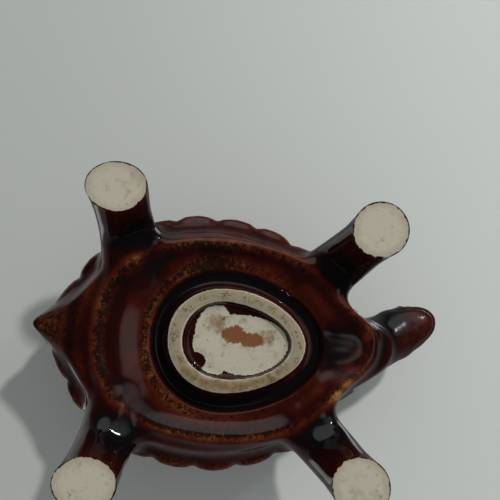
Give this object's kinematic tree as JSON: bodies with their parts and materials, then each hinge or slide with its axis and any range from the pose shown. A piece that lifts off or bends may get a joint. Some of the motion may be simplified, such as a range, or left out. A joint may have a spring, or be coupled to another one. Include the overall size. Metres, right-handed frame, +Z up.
{
  "type": "turtle figurine",
  "caption": "Glazed ceramic turtle standing on four flat bare feet, with a domed shell of raised scutes, a foot ring under the belly and the head turned aside.",
  "frame": {"origin": "middle of the figurine's outline, on the ground that the feet stand on", "axes": "+Z up, -Y towards the head, +X towards the turtle's left"},
  "size_m": [0.0768, 0.1014, 0.0475],
  "materials": {
    "brown_glaze": "glossy treacle-brown glaze with bare cream clay on the feet and the foot ring"
  },
  "bodies": {
    "root": {"turtle_figurine": "brown_glaze"}
  },
  "joints": []
}
